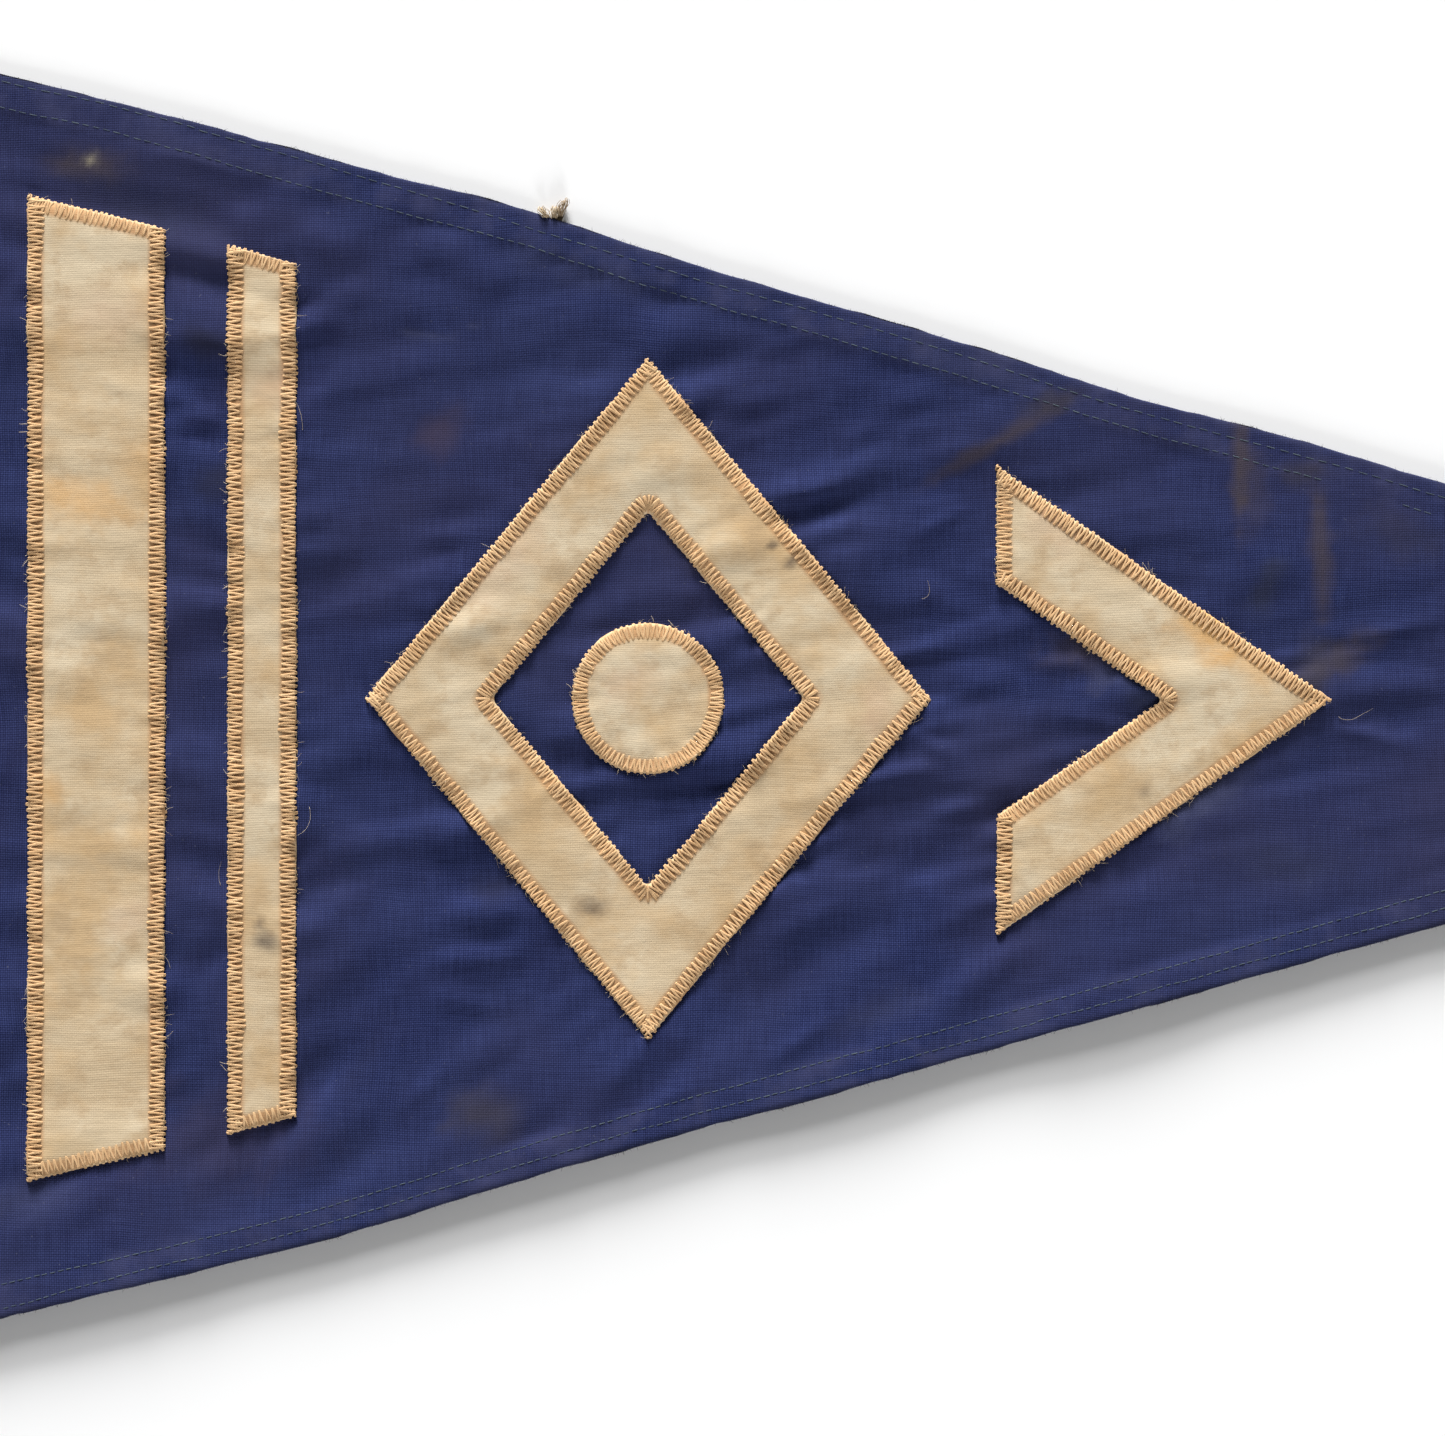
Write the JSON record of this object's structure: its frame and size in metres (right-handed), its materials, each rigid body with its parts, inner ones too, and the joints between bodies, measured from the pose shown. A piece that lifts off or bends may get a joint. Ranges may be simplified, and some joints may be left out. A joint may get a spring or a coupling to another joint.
{
  "type": "pennant flag",
  "caption": "Long tapering cloth pennant with folded hems, cream shapes sewn on with zigzag stitch, and a canvas heading with brass eyelets, lying flat.",
  "frame": {"origin": "middle of the flag's box, on the surface that it lies on", "axes": "+X along the flag from the hoist to the tip, +Y across it, +Z out of its front face"},
  "size_m": [0.74, 0.42, 0.0043],
  "materials": {
    "field_cloth": "faded navy bunting, plain weave, matt",
    "patch_cloth": "aged cream ribbed bunting, matt, stained",
    "heading_canvas": "aged white cotton canvas, matt",
    "eyelet_brass": "dull worn brass"
  },
  "bodies": {
    "root": {"field": "field_cloth", "patch_wide_band": "patch_cloth", "patch_narrow_band": "patch_cloth", "patch_lozenge": "patch_cloth", "patch_disc": "patch_cloth", "patch_chevron": "patch_cloth", "heading": "heading_canvas", "eyelet_upper": "eyelet_brass", "eyelet_lower": "eyelet_brass"}
  },
  "joints": []
}
